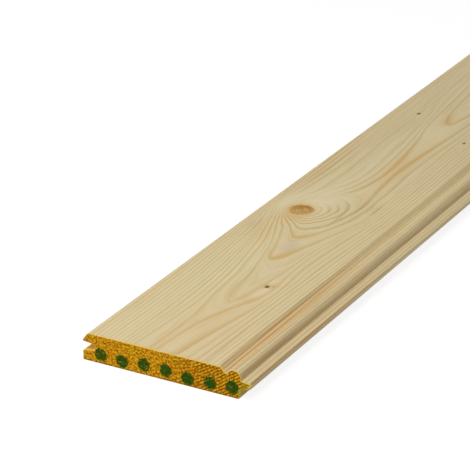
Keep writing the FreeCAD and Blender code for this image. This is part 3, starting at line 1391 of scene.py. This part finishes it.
    def bare_corner(self, sheet: NodeSheet, paint: Socket, stipple: Socket) -> Socket:
        """Rubs the paint off the tongue's upper corner, past a leaning line.

        Args:
            sheet: The material's nodes.
            paint: The colour so far.
            stipple: A fine noise.

        Returns:
            The colour.
        """
        across, _, height = sheet.axes
        leaning = sheet.times_plus(height, -self.corner_lean, across)
        edge = self.left + self.corner_across - self.corner_lean * self.corner_height
        past = sheet.times_plus(sheet.minus(stipple, 0.5), 1.0 * MM, sheet.minus(leaning, edge))
        rubbed = sheet.span(past, -0.8 * MM, -0.1 * MM, 0.0, 0.8)
        colour = sheet.blend(rubbed, paint, self.rubbed)
        bare = sheet.span(past, 0.2 * MM, 0.9 * MM, 0.0, 0.85)
        return sheet.blend(bare, colour, self.bare)

    def make(self) -> bpy.types.Material:
        """Builds the material.

        Returns:
            The material.
        """
        sheet = NodeSheet(bpy.data.materials.new(self.name))
        within = sheet.ring_share()
        line = sheet.times(sheet.span(within, 0.35, 0.7), sheet.span(within, 0.8, 1.0, 1.0, 0.0))
        stipple = sheet.grain(self.stipple_grain, detail=1.0, rough=0.6)
        paint = self.soaked(sheet, line, stipple)
        paint = self.edges(sheet, paint, stipple)
        paint = sheet.blend(sheet.times(self.dabs(sheet), 0.96), paint, self.green)
        paint = self.bare_corner(sheet, paint, stipple)
        relief = sheet.times_plus(line, 0.6, stipple)
        return sheet.surface(
            paint, self.rough, self.shine, relief, self.relief_strength, self.relief_depth
        )


@dataclass(frozen=True)
class SawnEnd:
    """Bare end grain with the faint strokes of a crosscut saw."""

    name: str = "sawn_end"
    early: Colour = screen_colour(208, 184, 138)
    late: Colour = screen_colour(158, 116, 62)
    dusty: Colour = screen_colour(220, 202, 164)
    pore_grain: Triple = (2200.0, 2200.0, 2200.0)
    stroke_grain: Triple = (1600.0, 1.0, 60.0)
    rough: float = 0.8
    shine: float = 0.2
    relief_strength: float = 0.5
    relief_depth: float = 0.3 * MM

    def make(self) -> bpy.types.Material:
        """Builds the material.

        Returns:
            The material.
        """
        sheet = NodeSheet(bpy.data.materials.new(self.name))
        within = sheet.ring_share()
        late = sheet.times(sheet.span(within, 0.35, 0.9), sheet.span(within, 0.92, 1.0, 1.0, 0.0))
        pores = sheet.grain(self.pore_grain, detail=3.0, rough=0.7)
        strokes = sheet.grain(self.stroke_grain)
        colour = sheet.blend(sheet.times(late, 0.75), self.early, self.late)
        colour = sheet.blend(sheet.span(pores, 0.5, 0.7, 0.0, 0.4), colour, self.late)
        colour = sheet.blend(sheet.span(strokes, 0.5, 0.7, 0.0, 0.45), colour, self.dusty)
        relief = sheet.times_plus(strokes, 1.5, pores)
        return sheet.surface(
            colour, self.rough, self.shine, relief, self.relief_strength, self.relief_depth
        )


@dataclass(frozen=True)
class PaleFloor:
    """A matt white floor that reads as plain white, with a faint shadow of the object."""

    name: str = "pale_floor"
    paper: Colour = screen_colour(232, 232, 232)
    shaded: Colour = (0.2, 0.2, 0.2, 1.0)
    glow: float = 0.86

    def make(self) -> bpy.types.Material:
        """Builds the material.

        Returns:
            The material.
        """
        sheet = NodeSheet(bpy.data.materials.new(self.name))
        paper = sheet.add("ShaderNodeBsdfDiffuse", {"Color": self.paper}).outputs[0]
        shaded = sheet.add("ShaderNodeBsdfDiffuse", {"Color": self.shaded}).outputs[0]
        glow = sheet.add("ShaderNodeEmission", {"Strength": self.glow}).outputs[0]
        lit = sheet.add("ShaderNodeAddShader", {0: shaded, 1: glow}).outputs[0]
        mixed = sheet.add("ShaderNodeMixShader", {0: sheet.seen(), 1: paper, 2: lit})
        return sheet.finish(mixed.outputs[0])


@dataclass(frozen=True)
class Skin:
    """The board's closed skin: its section at each station along it, and two filled ends.

    The points run along the board for each point of the outline, then over the painted end
    and over the far end. They are in metres from the board's lowest corner.
    """

    outline: np.ndarray
    outward: np.ndarray
    stations: np.ndarray
    rim: np.ndarray
    inner: np.ndarray
    triangles: np.ndarray
    saw_cut: np.ndarray
    end_pace: float = 0.5
    map_margin: float = 0.005
    map_length: float = 0.89
    map_end: float = 0.48
    map_front: Point = (0.01, 0.91)
    map_far: Point = (0.51, 0.91)

    def tube(self) -> np.ndarray:
        """Gives the points along the board, one row of stations for each of the outline."""
        tube = np.empty((len(self.outline), len(self.stations), 3))
        tube[..., [0, 2]] = self.outline[:, None]
        tube[:, [0, -1], 0] = self.rim[:, :1]
        tube[:, [0, -1], 2] = self.rim[:, 1:]
        tube[..., 1] = self.stations
        return tube

    def points(self) -> np.ndarray:
        """Gives all points, with the saw's strokes cut into both ends."""
        x, z = self.inner.T
        front = np.column_stack([x, self.saw_cut, z])
        far = np.column_stack([x, self.stations[-1] - self.saw_cut, z])
        return np.vstack([self.tube().reshape(-1, 3), front, far])

    def inward(self) -> np.ndarray:
        """Gives the way into the board at each point, across and up, and none inside an end."""
        along = -np.repeat(self.outward, len(self.stations), axis=0)
        return np.vstack([along, np.zeros((2 * len(self.inner), 2))])

    def starts(self) -> tuple[np.ndarray, np.ndarray]:
        """Gives the outline point and the station at which each four-sided face starts."""
        p, s = np.indices((len(self.outline), len(self.stations) - 1))
        return p.ravel(), s.ravel()

    def faces(self) -> dict[Coat, np.ndarray]:
        """Gives the faces of each coat, as the points at their corners.

        A four-sided face spans from one point of the outline to the next and from one station
        to the next. The far end's triangles are turned over, so that they face outwards too.

        Returns:
            The faces along the board, of the painted end and of the far end.
        """
        around, rows = len(self.outline), len(self.stations)
        p, s = self.starts()
        here = p * rows + s
        beside = (p + 1) % around * rows + s
        rim = np.arange(around) * rows
        inner = around * rows + np.arange(len(self.inner))
        front = np.concatenate([rim, inner])
        far = np.concatenate([rim + rows - 1, inner + len(self.inner)])
        return {
            Coat.PLANED: np.column_stack([here, beside, beside + 1, here + 1]),
            Coat.PAINTED: front[self.triangles],
            Coat.SAWN: far[self.triangles[:, ::-1]],
        }

    def ring_pace(self, rings: np.ndarray) -> np.ndarray:
        """Gives how many rings each millimetre of the surface crosses.

        It is the length of the count's slope: its rise from the point before to the point
        after over their distance, taken round the section and along the board. Inside an end
        it is taken as even.

        Args:
            rings: The count at each point.

        Returns:
            Rings per millimetre at each.
        """
        tube = self.tube() / MM
        total = tube.shape[0] * tube.shape[1]
        counts = rings[:total].reshape(tube.shape[:2])
        turn = np.roll(counts, -1, axis=0) - np.roll(counts, 1, axis=0)
        way = np.linalg.norm(np.roll(tube, -1, axis=0) - np.roll(tube, 1, axis=0), axis=2)
        lengthwise = np.gradient(counts, tube[0, :, 1], axis=1)
        pace = np.full(len(rings), self.end_pace)
        pace[:total] = np.hypot(turn / way, lengthwise).ravel()
        return pace

    def flat_map(self) -> np.ndarray:
        """Unrolls the skin onto a flat map.

        The way round the section runs across the map and the length runs up nine tenths of
        it. The two ends lie side by side in the strip above.

        Returns:
            Rows of u and v, one for each corner of each face.
        """
        run = np.linalg.norm(np.roll(self.outline, -1, axis=0) - self.outline, axis=1)
        way = np.concatenate([[0.0], np.cumsum(run)])
        u = self.map_margin + (1.0 - 2.0 * self.map_margin) * way / way[-1]
        v = self.map_margin + self.map_length * self.stations / self.stations[-1]
        p, s = self.starts()
        corners = ((p, s), (p + 1, s), (p + 1, s + 1), (p, s + 1))
        along = np.stack([np.column_stack([u[i], v[j]]) for i, j in corners], axis=1)
        flat = np.vstack([self.rim, self.inner]) * self.map_end / self.outline[:, 0].max()
        front = flat[self.triangles].reshape(-1, 2) + self.map_front
        far = flat[self.triangles[:, ::-1]].reshape(-1, 2) + self.map_far
        return np.vstack([along.reshape(-1, 2), front, far])


@dataclass(frozen=True)
class Board:
    """The one length of wood, how finely it is meshed and how its surface is worked.

    Spacings, refinements and the depths of the pins and stains are in millimetres, and values
    times MM are in metres.
    """

    name: str = "planed_board"
    node: str = "board"
    slot: str = "planed_softwood"
    end_wear: float = 0.15 * MM
    face_spacing: float = 1.05
    fine_across: tuple[Refinement, ...] = (
        Refinement(24.0, 14.0, 0.7),
        Refinement(56.0, 3.0, 0.6),
    )
    station_spacing: float = 5.0
    fine_along: tuple[Refinement, ...] = (
        Refinement(130.0, 165.0, 1.5),
        Refinement(185.0, 26.0, 0.8),
        Refinement(90.0, 5.0, 0.6),
        Refinement(370.0, 120.0, 2.6),
        Refinement(655.0, 30.0, 1.5),
    )
    cap_spacing: float = 1.3 * MM
    cap_clearance: float = 0.45
    cap_tolerance: float = 1e-5
    saw_depth: float = 0.12 * MM
    stroke_width: float = 0.9 * MM
    stroke_slant: Point = (3.7 * MM, 9.0 * MM)
    knot_dish: float = 0.1 * MM
    pin_pit: float = 0.45 * MM
    pin_reach: float = 2.0
    stained_from: float = 12.0
    stained_to: float = 5.0
    figure_strength: float = 0.72
    bold_strength: float = 0.9
    sharp_angle: float = 32.0

    def lowest(self) -> np.ndarray:
        """Gives the CAD board's lowest corner."""
        return np.array(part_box(self.node)[0])

    def extent(self) -> np.ndarray:
        """Gives the CAD board's size across, along and up."""
        low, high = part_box(self.node)
        return np.array(high - low)

    def stations(self) -> np.ndarray:
        """Gives the places along the board where the section is repeated, in millimetres."""
        length = self.extent()[1] / MM
        wear = self.end_wear / MM
        inner = graded(wear, length - wear, self.station_spacing, self.fine_along)
        return np.concatenate([[0.0], inner, [length]])

    def relief(self, places: Places) -> np.ndarray:
        """Gives how far the surface sinks at the knots.

        A branch knot is dished by a little and a pin knot is a pit, each as a bell curve of
        the distance in its half axes.

        Args:
            places: Places on the skin.

        Returns:
            The depth of the dish in metres.
        """
        sunk = np.zeros_like(places.depth)
        for knot in KNOTS:
            distance = knot.local(places)[:, 2]
            if knot.kind is KnotKind.BRANCH:
                sunk += self.knot_dish * np.exp(-(distance ** 4))
            else:
                near_face = np.exp(-((places.depth / self.pin_reach) ** 2))
                sunk += self.pin_pit * np.exp(-(distance ** 2)) * near_face
        return sunk

    def cap(self, outline: np.ndarray) -> tuple[np.ndarray, np.ndarray]:
        """Fills the section's outline with triangles on an even net.

        A point of the net is inside where a line to its right crosses the outline an odd
        number of times, and it is used where it is clear of the outline.

        Args:
            outline: The section's points, clockwise.

        Returns:
            The net's inner points, and triangles that count the outline's points first.
        """
        low = outline.min(axis=0)
        high = outline.max(axis=0)
        x, z = np.meshgrid(
            np.arange(low[0], high[0], self.cap_spacing),
            np.arange(low[1], high[1], self.cap_spacing),
            indexing="ij",
        )
        net = np.column_stack([x.ravel(), z.ravel()])
        net_x = net[:, None, 0]
        net_z = net[:, None, 1]
        following = np.roll(outline, -1, axis=0)
        side = (following - outline)[None]
        offset = net[:, None] - outline[None]
        share = np.clip(np.sum(offset * side, 2) / np.sum(side * side, 2), 0.0, 1.0)
        clear = np.linalg.norm(offset - share[..., None] * side, axis=2).min(axis=1)
        rising = (outline[:, 1] <= net_z) != (following[:, 1] <= net_z)
        height = np.where(side[..., 1] == 0.0, 1.0, side[..., 1])
        crossing = outline[:, 0] + (net_z - outline[:, 1]) / height * side[..., 0]
        inside = np.sum(rising & (crossing > net_x), axis=1) % 2 == 1
        inner = net[inside & (clear > self.cap_clearance * self.cap_spacing)]

        places = [Vector(p) for p in np.vstack([outline, inner]) / MM]
        count = len(outline)
        edges = [(i, (i + 1) % count) for i in range(count)]
        _, _, triangles, source, _, _ = delaunay_2d_cdt(
            places, edges, [], INSIDE_TRIANGLES, self.cap_tolerance
        )
        first = np.array([ids[0] for ids in source])
        return inner, first[np.array(triangles)]

    def strokes(self, inner: np.ndarray) -> np.ndarray:
        """Gives how deep the saw has cut at points of an end, as a product of two sines."""
        slant_across, slant_up = self.stroke_slant
        upright = np.sin(inner[:, 0] / self.stroke_width)
        slanting = np.sin(inner[:, 0] / slant_across + inner[:, 1] / slant_up)
        return self.saw_depth * (0.5 + 0.5 * upright * slanting)

    def skin(self) -> Skin:
        """Works out the section, the stations along the board and the filling of its ends.

        At both ends the outline is drawn in by the wear, so the sawn arris is eased.

        Returns:
            The skin.
        """
        size = self.extent()
        section = BoardSection(width=float(size[0]), thickness=float(size[2]))
        face = graded(0.0, size[0] / MM, self.face_spacing, self.fine_across)
        outline = section.outline(face * MM)
        outward = section.outward(outline)
        rim = outline - outward * self.end_wear
        inner, triangles = self.cap(rim)
        stations = self.stations() * MM
        return Skin(outline, outward, stations, rim, inner, triangles, self.strokes(inner))

    def build(self) -> bpy.types.Object:
        """Makes the board's mesh: the skin, with all knots sunk into it.

        Returns:
            The board's object.
        """
        skin = self.skin()
        points = skin.points()
        depth = self.extent()[2] - points[:, 2]
        places = Places(points[:, 0] / MM, points[:, 1] / MM, depth / MM)
        placed = points + self.lowest()
        placed[:, [0, 2]] += self.relief(places)[:, None] * skin.inward()

        faces = skin.faces()
        mesh = bpy.data.meshes.new(self.name)
        mesh.from_pydata(placed, [], [corners for part in faces.values() for corners in part.tolist()])
        coats = np.concatenate([np.full(len(part), coat.value) for coat, part in faces.items()])
        mesh.polygons.foreach_set("material_index", coats.astype(np.int32))
        mesh.polygons.foreach_set("use_smooth", np.ones(len(coats), bool))
        rings = GrowthRings().count(places)
        self.write_values(mesh, places, rings, skin.ring_pace(rings))
        layer = mesh.uv_layers.new(name="OFBake")
        layer.data.foreach_set("uv", skin.flat_map().astype(np.float32).ravel())
        mesh.update()
        mesh.validate()
        mesh.set_sharp_from_angle(angle=math.radians(self.sharp_angle))
        board = bpy.data.objects.new(self.name, mesh)
        bpy.context.scene.collection.objects.link(board)
        return board

    def write_values(self, mesh: bpy.types.Mesh, places: Places, rings: np.ndarray,
                     pace: np.ndarray) -> None:
        """Stores the ring count, the knots' measure and the patches at every point.

        The patches fade with the depth, so that they stay on the show face and its edges.

        Args:
            mesh: The board's mesh.
            places: Places of its points.
            rings: The ring count.
            pace: Rings in each millimetre of the surface.
        """
        branches = [knot for knot in KNOTS if knot.kind is KnotKind.BRANCH]
        local = np.stack([knot.local(places) for knot in branches])
        nearest = np.argmin(local[:, :, 2], axis=0)
        near_face = smooth_step(self.stained_from, self.stained_to, places.depth)

        def total(patches: tuple[Patch, ...]) -> np.ndarray:
            """Adds up the patches, from 0 to 1."""
            return np.clip(sum(patch.strength(places) for patch in patches), 0.0, 1.0) * near_face

        bands = sum(band.strength(places, rings, pace) for band in AMBER_BANDS)
        bands = np.clip(bands, 0.0, 1.0) * near_face
        bold = self.figure_strength + self.bold_strength * total(BOLD_PATCHES)
        numbers = {
            Attribute.RINGS: rings,
            Attribute.FIGURE: bold * (1.0 - total(QUIET_PATCHES)),
            Attribute.PACE: pace,
        }
        vectors = {
            Attribute.KNOT: local[nearest, np.arange(len(rings))],
            Attribute.STAIN: np.column_stack([total(AMBER_PATCHES), total(PALE_PATCHES), bands]),
        }
        for name, values in numbers.items():
            data = mesh.attributes.new(name.value, "FLOAT", "POINT").data
            data.foreach_set("value", values.astype(np.float32))
        for name, values in vectors.items():
            data = mesh.attributes.new(name.value, "FLOAT_VECTOR", "POINT").data
            data.foreach_set("vector", values.astype(np.float32).ravel())

    def dress(self, board: bpy.types.Object) -> None:
        """Gives the board its three finishes and ties it to the frame.

        Args:
            board: The board's object.
        """
        left, front, _ = (float(c) for c in self.lowest())
        planed = PlanedSoftwood(left=left, front=front, face_height=float(self.extent()[2]))
        board.data.materials.append(planed.make())
        board.data.materials.append(PaintedEnd(left=left).make())
        board.data.materials.append(SawnEnd().make())
        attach(board, "root")
        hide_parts(self.node)


@dataclass(frozen=True)
class Studio:
    """The pale floor, the soft lamps and the camera."""

    floor_radius: float = 6.0
    floor_drop: float = 0.1 * MM
    floor_corners: int = 64
    sky: float = 0.37
    key_place: Triple = (0.08, -0.9, 1.15)
    key_size: float = 0.8
    key_power: float = 11.5
    fill_place: Triple = (-0.9, -0.6, 0.25)
    fill_size: float = 0.6
    fill_power: float = 2.5
    camera_place: Triple = (0.5545, -1.3811, 0.5620)
    camera_turn: Triple = (65.92, 0.0, 28.97)
    aim: Triple = (0.0, -0.3, 0.0)
    lens: float = 190.6
    sensor: float = 36.0
    farthest: float = 50.0

    def lay_floor(self) -> bpy.types.Object:
        """Lays a round floor just under the board.

        Its corners are at the radius from the middle, at equal angles.

        Returns:
            The floor's object.
        """
        turns = np.linspace(0.0, 2.0 * np.pi, self.floor_corners, endpoint=False)
        ring = np.column_stack([np.cos(turns), np.sin(turns)]) * self.floor_radius
        points = np.column_stack([ring, np.full(len(ring), -self.floor_drop)])
        mesh = bpy.data.meshes.new("floor")
        mesh.from_pydata(points, [], [list(range(len(points)))])
        mesh.materials.append(PaleFloor().make())
        floor = bpy.data.objects.new("floor", mesh)
        bpy.context.scene.collection.objects.link(floor)
        return floor

    def set_world(self) -> None:
        """Lights everything evenly from a white sky that the camera sees as plain white."""
        world = bpy.data.worlds.new("studio_sky")
        sheet = NodeSheet(world)
        level = sheet.add("ShaderNodeMapRange", {0: sheet.seen(), 3: self.sky, 4: 1.0}).outputs[0]
        sheet.finish(sheet.add("ShaderNodeBackground", {"Strength": level}).outputs[0])
        bpy.context.scene.world = world

    def hang_lamp(self, name: str, place: Triple, size: float, power: float) -> None:
        """Hangs one soft square lamp that points at the board's front part.

        Args:
            name: The lamp's name.
            place: Where it hangs.
            size: Its side, in metres.
            power: Its power, in watts.
        """
        light = bpy.data.lights.new(name, "AREA")
        light.shape = "SQUARE"
        light.size = size
        light.energy = power
        lamp = bpy.data.objects.new(name, light)
        aim = Vector(self.aim) - Vector(place)
        lamp.location = place
        lamp.rotation_euler = aim.to_track_quat("-Z", "Y").to_euler()
        bpy.context.scene.collection.objects.link(lamp)

    def hang_lamps(self) -> None:
        """Hangs the key lamp over the painted end and a low weak one beside the groove."""
        self.hang_lamp("key_lamp", self.key_place, self.key_size, self.key_power)
        self.hang_lamp("fill_lamp", self.fill_place, self.fill_size, self.fill_power)

    def set_camera(self) -> None:
        """Sets the camera over the tongue side, looking along the board from its painted end."""
        data = bpy.data.cameras.new("camera")
        data.lens = self.lens
        data.sensor_width = self.sensor
        data.clip_end = self.farthest
        camera = bpy.data.objects.new("camera", data)
        camera.location = self.camera_place
        camera.rotation_euler = Euler([math.radians(a) for a in self.camera_turn])
        bpy.context.scene.collection.objects.link(camera)
        bpy.context.scene.camera = camera

    def build(self) -> None:
        """Sets up the floor, the sky, the lamps and the camera."""
        self.lay_floor()
        self.set_world()
        self.hang_lamps()
        self.set_camera()
        bpy.context.scene.view_settings.view_transform = "Standard"


def main() -> None:
    """Builds the studio and the board, and reports each piece."""
    logging.basicConfig(level=logging.INFO, format="%(name)s: %(message)s")
    Studio().build()
    log.info("studio: floor, sky, lamps and camera")
    maker = Board()
    board = maker.build()
    maker.dress(board)
    mesh = board.data
    log.info("%s: %d points, %d faces", board.name, len(mesh.vertices), len(mesh.polygons))


if __name__ == "__main__":
    main()
